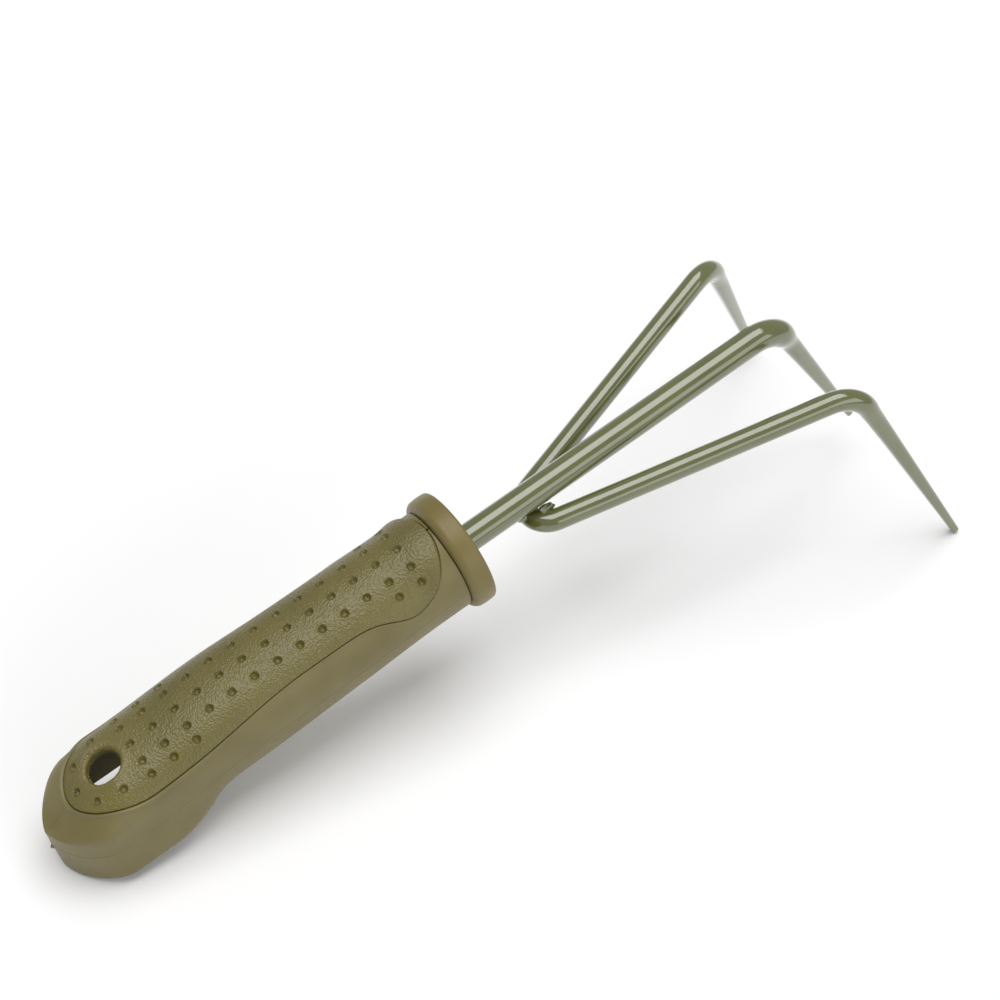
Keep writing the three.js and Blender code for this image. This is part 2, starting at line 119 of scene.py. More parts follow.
# Pad
PAD_START = 7.9
PAD_FRONT_FULL = 16.8  # its front end is rounded up to here
PAD_REAR_FULL = 104.0  # and its rear end from here
PAD_REAR_ROUND = 2.4
PAD_END = 124.5
PAD_THICKNESS = 1.5
PAD_PROUD = 0.3
PAD_GAP = 0.12  # the groove between the pad and the body
PAD_HALF_ANGLE = 50.5
PAD_POMMEL_ANGLE = 68.5
PAD_LOBE_ANGLE = 20.5
PAD_LOBE_BACK = 22.5
PAD_LOBE_LENGTH = 9.0
FLANGE_HEIGHT = 0.8  # the pad swells before the collar
FLANGE_BACK = 12.5
FLANGE_LENGTH = 4.2
DIMPLE_RADIUS = 1.1
DIMPLE_DEPTH = 1.15
DIMPLE_RIM = 0.09
DIMPLE_PITCH = 7.14
DIMPLE_FIRST = 17.5
DIMPLE_RINGS = 13
DIMPLE_ROWS = (0.0, 6.1, 10.1)  # distances of the rows from the middle
DIMPLE_ORBIT = 9.1  # distance of the dimples behind the hanging hole from its centre

# Collar
COLLAR_RADIUS = 17.1
COLLAR_LENGTH = 7.0

# Bars
SHAFT_RADIUS = 4.1
SIDE_RADIUS = 3.15
SHAFT_CORNER = np.array([110.6, 0.0, 0.0])
CENTRE_TINE = np.array([24.3, 0.0, -64.0])
SIDE_CORNER = np.array([112.8, 32.3, -2.4])
SIDE_TINE = np.array([21.8, 15.6, -73.2])
CENTRE_BEND_RADIUS = 13.0
SIDE_BEND_RADIUS = 11.0
CENTRE_ROOT = 0.76  # share of the bar's radius that is left at the root of its tine
SIDE_ROOT = 0.94
NOSE_RADIUS = 7.2
NOSE_Z = -(SHAFT_RADIUS + SIDE_RADIUS + GAP)
SPREAD = math.radians(16.5)
TIP_RADIUS = 1.2


def smoothstep(x, lo, hi):
    t = np.clip((np.asarray(x, float) - lo) / (hi - lo), 0, 1)
    return t * t * (3 - 2 * t)


def lerp(a, b, t):
    return a + (b - a) * t


def bell(x, centre, half_width):
    return np.exp(-(((x - centre) / half_width) ** 2))


# ---------------------------------------------------------------- meshes


class Build:
    """Vertices and faces collected for one mesh, in tool millimetres."""

    def __init__(self):
        self.points = []
        self.faces = []
        self.count = 0

    def add(self, points):
        """Adds an array of points of any shape and returns their numbers in that shape."""
        flat = np.asarray(points, float).reshape(-1, 3)
        numbers = np.arange(self.count, self.count + len(flat))
        self.points.append(flat)
        self.count += len(flat)
        return numbers.reshape(np.asarray(points).shape[:-1])

    def grid(self, numbers, loop=False, keep=None):
        """Faces over a grid of point numbers; "loop" joins the last column to the first."""
        n = np.hstack([numbers, numbers[:, :1]]) if loop else numbers
        quads = np.stack([n[:-1, :-1], n[1:, :-1], n[1:, 1:], n[:-1, 1:]], -1)
        if keep is not None:
            quads = quads[keep]
        self.faces.extend(quads.reshape(-1, 4).tolist())

    def cap(self, ring):
        self.faces.append(list(ring))

    def mesh(self, name, sharp=35):
        """The finished object, doubles merged, facing outwards, smooth up to an angle."""
        data = bpy.data.meshes.new(name)
        points = in_frame(np.vstack(self.points))
        data.from_pydata(points.tolist(), [], self.faces)
        data.validate()
        obj = bpy.data.objects.new(name, data)
        bpy.context.scene.collection.objects.link(obj)
        tidy(obj, sharp)
        return obj


def tidy(obj, sharp):
    bm = bmesh.new()
    bm.from_mesh(obj.data)
    bmesh.ops.remove_doubles(bm, verts=bm.verts, dist=2e-6)
    bmesh.ops.dissolve_degenerate(bm, edges=bm.edges, dist=1e-6)
    bmesh.ops.recalc_face_normals(bm, faces=bm.faces)
    for face in bm.faces:
        face.smooth = True
    limit = math.radians(sharp)
    for edge in bm.edges:
        edge.smooth = not edge.is_manifold or edge.calc_face_angle(0) < limit
    bm.to_mesh(obj.data)
    bm.free()


# ---------------------------------------------------------------- handle surface


def rounded(back, start, end, power):
    """Share of a size that is left where it falls to nothing at the handle's end."""
    turn = np.clip((np.asarray(back, float) - start) / (end - start), 0, 0.99999)
    return (1 - turn**power) ** (1 / power)


def section(back):
    """Half width, top, bottom and upper and lower squareness at distances back."""
    back = np.asarray(back, float)
    tail = smoothstep(back, 70, 105)
    skirt = smoothstep(back, SKIRT_START, SKIRT_END)
    belly = smoothstep(back, 20, 88)
    grip = lerp(NECK_HALF_WIDTH, GRIP_HALF_WIDTH, smoothstep(back, 14, 40))
    crown = lerp(TOP_NECK, TOP_GRIP, smoothstep(back, 10, 60))
    top = lerp(crown, TOP_POMMEL, smoothstep(back, 70, 120))
    dome = rounded(back, DOME_START, HANDLE_LENGTH, DOME_ROUND)
    plan = rounded(back, PLAN_ROUND_START, HANDLE_LENGTH, PLAN_ROUND)
    return (
        lerp(grip, POMMEL_HALF_WIDTH, tail) * plan,
        np.maximum(lerp(TOP_END, top, dome), 0.3),
        lerp(lerp(BOTTOM_NECK, BOTTOM_GRIP, belly), FOOT_DEPTH + 1, skirt),
        lerp(2, UPPER_SQUARE, smoothstep(back, 15, 110)),
        lerp(lerp(2, LOWER_SQUARE, belly), SKIRT_SQUARE, skirt**2),
    )


def hull(back, psi):
    """Points of the handle's skin. psi is 0 at the top, positive to the left, pi at the bottom."""
    back, psi = np.broadcast_arrays(np.asarray(back, float), np.asarray(psi, float))
    width, top, bottom, upper, lower = section(back)
    sin, cos = np.sin(psi), np.cos(psi)
    power = np.where(cos >= 0, upper, lower)
    height = np.where(cos >= 0, top, bottom)
    reach = (np.abs(sin) ** power + np.abs(cos) ** power) ** (-1 / power)
    z = height * reach * cos
    over = np.maximum(-z - (FOOT_DEPTH - FOOT_EDGE), 0)
    z = np.where(over > 0, -(FOOT_DEPTH - FOOT_EDGE) - FOOT_EDGE * (1 - np.exp(-over / FOOT_EDGE)), z)
    skirt = smoothstep(back, SKIRT_START, SKIRT_END)
    flare = 1 + POMMEL_FLARE / POMMEL_HALF_WIDTH * skirt * np.clip(-z / FOOT_DEPTH, 0, 1) ** 1.6
    turn = np.clip((back - PLAN_ROUND_START) / (HANDLE_LENGTH - PLAN_ROUND_START), 0, 1)
    lean = REAR_LEAN * turn**2 * (z + FOOT_DEPTH) / FOOT_DEPTH
    return np.stack([lean - back, width * reach * sin * flare, z], -1)


def outward(back, psi):
    """Unit normals of the handle's skin."""
    step = 1e-3
    along = hull(np.asarray(back) + step, psi) - hull(np.asarray(back) - step, psi)
    around = hull(back, psi + step) - hull(back, psi - step)
    normal = np.cross(around, along)
    length = np.linalg.norm(normal, axis=-1, keepdims=True)
    return normal / np.maximum(length, 1e-12)


def skin_angle(back, angle):
    """The skin's psi where the true angle from the top is "angle" (under 90 degrees)."""
    width, top, _, _, _ = section(back)
    return np.arctan2(np.sin(angle) * top, np.cos(angle) * width)


def top_height(back, y):
    """Height of the skin above a point of the plan."""
    width, top, _, upper, _ = section(back)
    inside = np.clip(1 - (np.abs(y) / width) ** upper, 1e-6, 1)
    return top * inside ** (1 / upper)


def pad_half_angle(back, grow=0.0):
    """Half angle of the pad from the top; "grow" widens its outline by that many millimetres."""
    back = np.asarray(back, float)
    start, end = PAD_START - grow, PAD_END + grow
    side = lerp(PAD_HALF_ANGLE, PAD_POMMEL_ANGLE, smoothstep(back, 56, 108))
    lobe = PAD_LOBE_ANGLE * bell(back, PAD_LOBE_BACK, PAD_LOBE_LENGTH)
    front = np.clip((PAD_FRONT_FULL - back) / (PAD_FRONT_FULL - start), 0, 1)
    wide = (np.radians(side + lobe) + grow / GRIP_HALF_WIDTH) * np.sqrt(1 - front**2)
    rear = np.clip((back - PAD_REAR_FULL) / (end - PAD_REAR_FULL), 0, 1)
    rounding = (1 - rear**PAD_REAR_ROUND) ** (1 / PAD_REAR_ROUND)
    reach = hull(back, skin_angle(back, wide))[..., 1] * rounding
    return np.arctan2(reach, top_height(back, reach))


def outline_distance(points, grow):
    """Distance in millimetres from points of the skin to the pad's outline."""
    start, end = PAD_START - grow, PAD_END + grow
    turn = 0.5 - 0.5 * np.cos(np.linspace(0, math.pi, 420))
    along = lerp(start, end, turn)
    line = hull(along, skin_angle(along, pad_half_angle(along, grow)))
    near = points.reshape(-1, 3) * np.array([1.0, 0.0, 1.0])
    near[:, 1] = np.abs(points[..., 1].ravel())
    a, d = line[:-1], line[1:] - line[:-1]
    length = np.maximum((d * d).sum(-1), 1e-12)
    best = np.empty(len(near))
    for first in range(0, len(near), 4000):
        off = near[first : first + 4000, None, :] - a[None]
        t = np.clip((off * d).sum(-1) / length, 0, 1)
        gap = off - t[..., None] * d
        best[first : first + 4000] = np.sqrt((gap * gap).sum(-1)).min(1)
    return best.reshape(points.shape[:-1])


def pad_backs(grow):
    """Distances back of the pad's sections, close together at its round ends."""
    start, end = PAD_START - grow, PAD_END + grow
    quarter = np.linspace(0.02, 1, 44)
    front = start + (PAD_FRONT_FULL - start) * (1 - np.cos(quarter * math.pi / 2))
    rear = end - (end - PAD_REAR_FULL) * (1 - np.cos(np.linspace(0.02, 1, 110) * math.pi / 2))
    middle = np.arange(PAD_FRONT_FULL + 0.3, PAD_REAR_FULL - 0.2, 0.3)
    return np.concatenate([front, middle, rear[::-1]])


# ---------------------------------------------------------------- handle body

LIP_HEIGHT = 0.4
LIP_PLACE = 0.5  # distance of its crest from the groove
LIP_WIDTH = 0.36
PARTING_HEIGHT = 0.12
PARTING_HALF = 0.22
NUB_HEIGHT = 0.9  # gate mark on the end wall
NUB_DROP = -7.4
SHOULDER_HEIGHT = -0.5


def parting_height(back):
    """Height of the mould's parting line: it sinks towards the pommel."""
    return lerp(-0.2, -1.6, smoothstep(back, 10, 60)) - 4.0 * smoothstep(back, 70, 112)


def parting_psi(back):
    """The skin's psi at the parting line."""
    _, _, bottom, _, lower = section(back)
    down = np.clip(-parting_height(back) / bottom, 1e-4, 0.999)
    side = (1 - down**lower) ** (1 / lower)
    return math.pi / 2 + np.arctan2(down, side)


def half_ring(back):
    """psi of the skin's points on one side, from the pad's edge round to the bottom."""
    start = skin_angle(back, pad_half_angle(back, PAD_GAP))[:, None]
    line = parting_psi(back)[:, None]
    per_mm = 1 / GRIP_HALF_WIDTH
    edge = np.array([0, 0.07, 0.15, 0.25, 0.38, 0.55, 0.75, 1.0, 1.3, 1.65]) * per_mm
    ridge = np.array([-2, -1, -0.5, 0, 0.5, 1, 2]) * PARTING_HALF * per_mm
    side = np.linspace(0, 1, 34)[1:-1]
    below = np.linspace(0, 1, 58)[1:]
    first = start + edge
    last = line + ridge
    between = first[:, -1:] + (last[:, :1] - first[:, -1:]) * side
    under = last[:, -1:] + (math.pi - last[:, -1:]) * below
    return np.hstack([first, between, last, under])


def body_backs():
    """Distances back of the body's sections: the pad's own, then closer round the rear end."""
    inside = pad_backs(PAD_GAP)
    tail = PAD_END + PAD_GAP + np.array([0.0, 0.08, 0.18, 0.3, 0.45, 0.65, 0.9, 1.2, 1.6])
    turn = np.sin(np.linspace(0, math.pi / 2, 22))[1:]
    rear = lerp(tail[-1], HANDLE_LENGTH - 0.004, turn)
    return np.concatenate([[NECK_START - 0.02], inside[inside > NECK_START], tail, rear])


def body_relief(back, points):
    """Raised lip round the pad, parting line and gate mark, in millimetres out of the skin."""
    gap = outline_distance(points, PAD_GAP)
    pommel = smoothstep(back, 66, 92)
    lip = LIP_HEIGHT * lerp(0.25, 1, pommel) * bell(gap, LIP_PLACE, LIP_WIDTH)
    edge = 0.22
    roll = np.where(gap < edge, edge - np.sqrt(np.maximum(edge**2 - (edge - gap) ** 2, 0)), 0)
    off = (points[..., 2] - parting_height(back)) / PARTING_HALF
    ridge = PARTING_HEIGHT * np.exp(-(off**2)) * smoothstep(back, 8, 14)
    nub = NUB_HEIGHT * bell(points[..., 2], NUB_DROP, 0.55) * bell(points[..., 1], 0, 0.5)
    return np.where(back > PAD_START - PAD_GAP, lip - roll, 0) + ridge + nub * (back > 130)


def cavity_outline():
    """The hollow's outline at the foot, as (back, y) points going round once."""
    last = HANDLE_LENGTH - WALL
    half = POMMEL_HALF_WIDTH + POMMEL_FLARE - WALL
    turn = np.linspace(0, math.pi / 2, 40)
    run = lerp(PLAN_ROUND_START, last, np.sin(turn))
    side = half * rounded(run, PLAN_ROUND_START, last, PLAN_ROUND)
    corner = 3.0
    bend = np.linspace(0, math.pi / 2, 12)[1:-1]
    front = CAVITY_START + corner * (1 - np.sin(bend))
    front_side = half - corner * (1 - np.cos(bend))
    straight = np.linspace(PLAN_ROUND_START, CAVITY_START + corner, 16)[1:]
    across = np.linspace(half - corner, corner - half, 24)
    backs = np.concatenate([run[::-1], straight, front])
    sides = np.concatenate([side[::-1], np.full(len(straight), half), front_side])
    backs = np.concatenate([backs, np.full(len(across), CAVITY_START), backs[::-1]])
    sides = np.concatenate([sides, across, -sides[::-1]])
    return np.stack([backs, sides], -1)[:-1]


def inside_outline(points, line):
    """Which (back, y) points lie inside a closed outline."""
    x, y = points[..., 0], points[..., 1]
    result = np.zeros(x.shape, bool)
    for (x0, y0), (x1, y1) in zip(line, np.roll(line, -1, 0)):
        if y0 == y1:
            continue
        crosses = (y0 > y) != (y1 > y)
        result ^= crosses & (x < (x1 - x0) * (y - y0) / (y1 - y0) + x0)
    return result


def nearest_on(points, line):
    """Nearest points on a closed outline."""
    a, b = line, np.roll(line, -1, 0)
    d = b - a
    length = np.maximum((d * d).sum(-1), 1e-12)
    off = points[:, None, :] - a[None]
    t = np.clip((off * d).sum(-1) / length, 0, 1)
    on = a + t[..., None] * d
    best = ((points[:, None, :] - on) ** 2).sum(-1).argmin(1)
    return on[np.arange(len(points)), best]


def boundary_loop(quads):
    """Ordered point numbers round a patch of quads."""
    edges = {}
    for quad in quads.tolist():
        for a, b in zip(quad, quad[1:] + quad[:1]):
            edges[(a, b)] = True
    onward = {a: b for a, b in edges if (b, a) not in edges}
    start = next(iter(onward))
    loop = [start]
    while onward[loop[-1]] != start:
        loop.append(onward[loop[-1]])
    return loop


def zip_loops(build, one, two, centre):
    """Triangles between two loops round a centre, whatever their counts."""

    def by_angle(loop):
        points = np.vstack(build.points)[loop]
        angle = np.arctan2(points[:, 1], points[:, 0] - centre)
        order = np.argsort(angle)
        return angle[order], np.asarray(loop)[order]

    angle_a, a = by_angle(one)
    angle_b, b = by_angle(two)
    i = j = 0
    while i < len(a) or j < len(b):
        next_a = angle_a[i + 1] if i + 1 < len(a) else angle_a[0] + 2 * math.pi
        next_b = angle_b[j + 1] if j + 1 < len(b) else angle_b[0] + 2 * math.pi
        if j >= len(b) or (i < len(a) and next_a <= next_b):
            build.faces.append([int(a[i % len(a)]), int(a[(i + 1) % len(a)]), int(b[j % len(b)])])
            i += 1
        else:
            build.faces.append([int(a[i % len(a)]), int(b[(j + 1) % len(b)]), int(b[j % len(b)])])
            j += 1


def outside_hole(build, numbers, radius):
    """Which quads of a grid lie outside the hanging hole, and the points round its edge."""
    points = np.vstack(build.points)
    quads = np.stack([numbers[:-1, :-1], numbers[1:, :-1], numbers[1:, 1:], numbers[:-1, 1:]], -1)
    centre = points[quads].mean(2)
    near = np.hypot(centre[..., 0] + HOLE_BACK, centre[..., 1]) < radius
    return ~near, boundary_loop(quads[near])


def move_to_circle(build, loop, radius, height_at):
    """Moves points onto the hole's circle and gives them the height there."""
    points = np.vstack(build.points)
    off = points[loop][:, :2] + np.array([HOLE_BACK, 0.0])
    off *= radius / np.linalg.norm(off, axis=1, keepdims=True)
    x = off[:, 0] - HOLE_BACK
    points[loop, 0] = x
    points[loop, 1] = off[:, 1]
    points[loop, 2] = height_at(-x, off[:, 1])
    build.points = [points]


def soft_shoulder(points, back):
    """Rounds the edge where the pommel's dome meets its end wall."""
    share = 0.5 * bell(points[..., 2], SHOULDER_HEIGHT, 2.2) * smoothstep(back, 112, 122)[:, None]
    share[-1] = 0
    for _ in range(80):
        ringed = np.concatenate([points[:1], points, points[-1:]])
        near = ringed[:-2] + ringed[2:] + np.roll(points, 1, 1) + np.roll(points, -1, 1)
        points = points + share[..., None] * (near / 4 - points)
    return points


def handle_body():
    build = Build()
    back = body_backs()
    half = half_ring(back)
    psi = np.hstack([half, -half[:, -2::-1]])
    spine = np.repeat(back[:, None], psi.shape[1], 1)
    base = hull(spine, psi)
    relief = outward(spine, psi) * body_relief(spine, base)[..., None]
    points = soft_shoulder(base, back) + relief
    skin = build.add(points)

    # Hollow pommel: an opening in the foot, lined up to the underside of the top plate
    quads = np.stack([skin[:-1, :-1], skin[1:, :-1], skin[1:, 1:], skin[:-1, 1:]], -1)
    centre = points.reshape(-1, 3)[quads].mean(2)
    line = cavity_outline()
    plan = np.stack([-centre[..., 0], centre[..., 1]], -1)
    opening = inside_outline(plan, line) & (centre[..., 2] < -FOOT_DEPTH + 2.5)
    rim = boundary_loop(quads[opening])
    flat = build.points[0]
    on = nearest_on(np.stack([-flat[rim, 0], flat[rim, 1]], -1), line)
    flat[rim] = np.stack([-on[:, 0], on[:, 1], np.full(len(on), -FOOT_DEPTH + 0.02)], -1)
    build.grid(skin, keep=~opening)

    # Seat of the pad: a wall down from the lip and a floor below the pad
    seat_rows = (back > PAD_START - PAD_GAP) & (back < PAD_END + PAD_GAP)
    rows = np.flatnonzero(seat_rows)
    depth = PAD_THICKNESS + GAP
    edge = skin_angle(back[rows], pad_half_angle(back[rows], PAD_GAP))[:, None]
    across = np.linspace(1, -1, 61)[None]
    floor_psi = edge * across
    floor_back = np.repeat(back[rows][:, None], floor_psi.shape[1], 1)
    floor_points = hull(floor_back, floor_psi) - depth * outward(floor_back, floor_psi)
    floor = build.add(floor_points)
    keep, top_loop = outside_hole(build, floor, HOLE_RADIUS + GAP)
    build.grid(floor, keep=keep)
    move_to_circle(build, top_loop, HOLE_RADIUS + GAP, lambda b, y: top_height(b, y) - depth)
    build.grid(np.stack([skin[rows, 0], floor[:, 0]], -1))
    build.grid(np.stack([floor[:, -1], skin[rows, -1]], -1))
    build.cap(np.concatenate([[skin[rows[0], 0]], floor[0], [skin[rows[0], -1]]]))
    build.cap(np.concatenate([[skin[rows[-1], 0]], floor[-1], [skin[rows[-1], -1]]]))

    # Lining
    ceiling_drop = PAD_THICKNESS + GAP + WALL
    middle = np.array([-HOLE_BACK, 0.0])
    foot = np.vstack(build.points)[rim]
    base = foot[:, :2] - middle
    reach = np.linalg.norm(base, axis=1, keepdims=True)
    aim = base / reach
    bend = 2.6
    slope = 2.5 * smoothstep(foot[:, 0], -CAVITY_START - 4, -CAVITY_START)[:, None]

    def ceiling(plan_points):
        height = top_height(-plan_points[:, 0], plan_points[:, 1]) - ceiling_drop
        return np.maximum(height, CAVITY_END_TOP)

    rings = []
    wall_reach = reach - slope - 0.4
    wall_top = ceiling(middle + aim * (wall_reach - bend)) - bend
    for t in np.linspace(0, 1, 9, endpoint=False):
        plan_points = middle + aim * lerp(reach, wall_reach, t)
        rings.append(np.column_stack([plan_points, lerp(foot[:, 2], wall_top, t)]))
    for t in np.linspace(0, math.pi / 2, 7):
        plan_points = middle + aim * (wall_reach - bend * (1 - math.cos(t)))
        rings.append(np.column_stack([plan_points, wall_top + bend * math.sin(t)]))
    hole = HOLE_RADIUS + GAP
    for t in np.linspace(0, 1, 9)[1:]:
        plan_points = middle + aim * lerp(wall_reach - bend, hole, t)
        rings.append(np.column_stack([plan_points, ceiling(plan_points)]))
    lining = build.add(np.array(rings[1:]))
    lining = np.vstack([np.array(rim)[None], lining])
    build.grid(lining, loop=True)
    zip_loops(build, lining[-1].tolist(), top_loop, -HOLE_BACK)

    # Rear end and the hidden spigot and socket at the front
    build.cap(skin[-1])
    ring = skin[0]
    angle = psi[0]
    for x, radius in (
        (-NECK_START, SPIGOT_RADIUS),
        (-SPIGOT_END, SPIGOT_RADIUS),
        (-SPIGOT_END, SOCKET_RADIUS),
        (-SOCKET_END, SOCKET_RADIUS),
    ):
        circle = np.stack([np.full(len(angle), x), radius * np.sin(angle), radius * np.cos(angle)], -1)
        inner = build.add(circle)
        build.grid(np.stack([ring, inner]))
        ring = inner
    build.cap(ring)
    return build.mesh("handle_moulding")


# ---------------------------------------------------------------- grip pad


def dimple_centres():
    """Points of the skin under the dimples: straight rows, outer rows only near the two ends."""
    places = []
    for ring in range(DIMPLE_RINGS):
        at_end = ring < 2 or ring >= DIMPLE_RINGS - 3
        for row in DIMPLE_ROWS if at_end else DIMPLE_ROWS[:2]:
            at = DIMPLE_FIRST + ring * DIMPLE_PITCH
            places += [(at, row), (at, -row)] if row else [(at, row)]
    for turn in np.radians([-96, -46, 0, 46, 96]):
        places.append((HOLE_BACK + DIMPLE_ORBIT * math.cos(turn), DIMPLE_ORBIT * math.sin(turn)))
    back, y = np.array(places).T
    angle = np.arctan2(y, top_height(back, y))
    return hull(back, skin_angle(back, angle))


def pad_relief(back, points, gap):
    """Height of the pad's face above the handle's skin."""
    edge = 0.6
    roll = np.where(gap < edge, edge - np.sqrt(np.maximum(edge**2 - (edge - gap) ** 2, 0)), 0)
    height = lerp(PAD_PROUD, 0.0, smoothstep(back, 86, 100)) - roll
    height = height + FLANGE_HEIGHT * bell(back, FLANGE_BACK, FLANGE_LENGTH)
    for centre in dimple_centres():
        rho = np.linalg.norm(points - centre, axis=-1) / DIMPLE_RADIUS
        pit = np.sqrt(np.clip(1 - rho**2, 0, 1))
        height = height - DIMPLE_DEPTH * pit + DIMPLE_RIM * bell(rho, 1.25, 0.22)
    rho = np.hypot(points[..., 0] + HOLE_BACK, points[..., 1]) - HOLE_RADIUS
    short = np.clip(HOLE_ROLL - rho, 0, HOLE_ROLL)
    fall = HOLE_ROLL - np.sqrt(HOLE_ROLL**2 - short**2)
    return height + HOLE_RIM * bell(rho, HOLE_ROLL, 0.8) - fall


def pad_columns(back):
    """psi across the pad, closer together at its two edges."""
    edge = skin_angle(back, pad_half_angle(back))[:, None]
    width = edge * GRIP_HALF_WIDTH
    near = np.array([0, 0.04, 0.1, 0.18, 0.3, 0.45, 0.65, 0.9])
    share = np.minimum(near[None] / np.maximum(width, 1e-6), near[None] / 2.4)
    inner = 1 - share[:, -1:]
    middle = inner * np.linspace(1, -1, 124)[None, 1:-1]
    q = np.hstack([1 - share, middle, -(1 - share[:, ::-1])])
    return edge * q


def grip_pad():
    build = Build()
    back = pad_backs(0)
    psi = pad_columns(back)
    spine = np.repeat(back[:, None], psi.shape[1], 1)
    base = hull(spine, psi)
    normal = outward(spine, psi)
    relief = pad_relief(spine, base, outline_distance(base, 0))
    face = build.add(base + normal * relief[..., None])
    keep, face_loop = outside_hole(build, face, HOLE_RADIUS)
    under = build.add(base - normal * PAD_THICKNESS)
    build.grid(face, keep=keep)
    build.grid(under[:, ::-1], keep=keep[:, ::-1])
    move_to_circle(build, face_loop, HOLE_RADIUS, lambda b, y: top_height(b, y) - HOLE_ROLL + 0.1)
    shift = int(under[0, 0] - face[0, 0])
    under_loop = [n + shift for n in face_loop]
    move_to_circle(build, under_loop, HOLE_RADIUS, lambda b, y: top_height(b, y) - PAD_THICKNESS)
    build.grid(np.array([face_loop, under_loop]), loop=True)
    for column in (0, -1):
        build.grid(np.stack([face[:, column], under[:, column]], -1))
    for row in (0, -1):
        build.grid(np.stack([face[row], under[row]]))
    return build.mesh("grip_pad_moulding", sharp=50)


# ---------------------------------------------------------------- collar


def collar_ring():
    """A lathed ring with rounded edges and a bore behind that takes the spigot."""
    front_edge, rear_edge = 1.1, 2.5
    web, bore, hole = 2.6, SPIGOT_RADIUS + GAP, SHAFT_RADIUS + GAP
    profile = []

    def arc(cx, cr, radius, start, stop, steps):
        for t in np.radians(np.linspace(start, stop, steps)):
            profile.append((cx + radius * math.sin(t), cr + radius * math.cos(t)))

    arc(-front_edge, COLLAR_RADIUS - front_edge - 0.1, front_edge, 90, 0, 12)
    crown = COLLAR_LENGTH - front_edge - rear_edge
    for t in np.linspace(0, 1, 8)[1:-1]:
        profile.append((-front_edge - crown * t, COLLAR_RADIUS - 0.1 + 0.1 * math.sin(math.pi * t)))
    arc(rear_edge - COLLAR_LENGTH, COLLAR_RADIUS - rear_edge - 0.1, rear_edge, 0, -90, 14)
    profile += [(-COLLAR_LENGTH, bore + 0.3), (-COLLAR_LENGTH + 0.3, bore), (-web, bore)]
    profile += [(-web, hole), (-0.4, hole), (0, hole + 0.4)]
    sides = 200
    angle = np.linspace(0, 2 * math.pi, sides, endpoint=False)
    x, radius = np.array(profile).T
    across = radius * np.sin(angle)[:, None]
    rings = np.stack([np.repeat(x[None], sides, 0), across, radius * np.cos(angle)[:, None]], -1)
    build = Build()
    numbers = build.add(rings)
    closed = np.vstack([numbers, numbers[:1]])
    build.grid(closed, loop=True)
    return build.mesh("guard_collar", sharp=40)


# ---------------------------------------------------------------- steel bars


def corner_path(start, corner, end, radius, pitch=1.2):
    """A straight run, a round bend and another straight run."""
    back = (corner - start) / np.linalg.norm(corner - start)
    on = (end - corner) / np.linalg.norm(end - corner)
    half = math.acos(float(np.clip(back @ on, -1, 1))) / 2
    inward = (on - back) / np.linalg.norm(on - back)
    along = (on + back) / np.linalg.norm(on + back)
    centre = corner + inward * radius / math.cos(half)
    turn = np.linspace(-half, half, 26)
    arc = centre + radius * (np.sin(turn)[:, None] * along - np.cos(turn)[:, None] * inward)
    first = straight(start, arc[0], pitch)[:-1]
    last = straight(arc[-1], end, pitch)[1:]
    return np.vstack([first, arc, last])


def straight(a, b, pitch):
    count = max(2, int(np.linalg.norm(b - a) / pitch) + 1)
    return a + (b - a) * np.linspace(0, 1, count)[:, None]


def sweep(path, shape, sides=48):
    """Rings round a path. shape(distance) gives the two radii and the squareness there."""
    forward = np.gradient(path, axis=0)
    forward /= np.linalg.norm(forward, axis=1, keepdims=True)
    length = np.concatenate([[0], np.cumsum(np.linalg.norm(np.diff(path, axis=0), axis=1))])
    angle = np.linspace(0, 2 * math.pi, sides, endpoint=False)
    side = np.array([0.0, 1.0, 0.0])
    rings = []
    for i, point in enumerate(path):
        side = side - forward[i] * (side @ forward[i])
        side /= np.linalg.norm(side)
        up = np.cross(forward[i], side)
        across, through, square = shape(length[i], length[-1])
        reach = (np.abs(np.cos(angle)) ** square + np.abs(np.sin(angle)) ** square) ** (-1 / square)
        ring = point + across * (reach * np.cos(angle))[:, None] * side
        rings.append(ring + through * (reach * np.sin(angle))[:, None] * up)
    return np.array(rings)


def bar_mesh(name, rings):
    build = Build()
    numbers = build.add(rings)
    build.grid(numbers, loop=True)
    build.cap(numbers[0])
    build.cap(numbers[-1])
    return build.mesh(name, sharp=60)


def tine_shape(full, root, tine, middle=0.0):
    """Radii of a bar that is forged thinner and flatter from its bend to its tip."""

    def shape(left):
        along = float(np.clip(1 - left / tine, 0, 1))
        thin = lerp(root, TIP_RADIUS, along) + middle * math.sin(math.pi * along)
        radius = lerp(full, thin, float(smoothstep(along, 0, 0.12)))
        dome = math.sqrt(max(0.0, 1 - max(0.0, 1 - left / TIP_RADIUS) ** 2))
        flat = float(smoothstep(along, 0.02, 0.3))
        return radius * dome, radius * dome * lerp(1.0, 0.94, flat), lerp(2.0, 2.9, flat)

    return shape


def centre_bar():
    tip = SHAFT_CORNER + CENTRE_TINE
    path = corner_path(np.array([-70.0, 0, 0]), SHAFT_CORNER, tip, CENTRE_BEND_RADIUS)
    fine = tip - (tip - path[-2]) / np.linalg.norm(tip - path[-2]) * TIP_RADIUS
    path = np.vstack([path[:-1], straight(fine, tip, 0.12)])
    shape = tine_shape(SHAFT_RADIUS, SHAFT_RADIUS * CENTRE_ROOT, np.linalg.norm(CENTRE_TINE) - 4, 0.12)
    return bar_mesh("centre_bar", sweep(path, lambda at, total: shape(total - at)))


NOSE_CENTRE_X = SIDE_CORNER[0] - SIDE_CORNER[1] / math.tan(SPREAD) + NOSE_RADIUS / math.sin(SPREAD)
NOSE_X = NOSE_CENTRE_X - NOSE_RADIUS


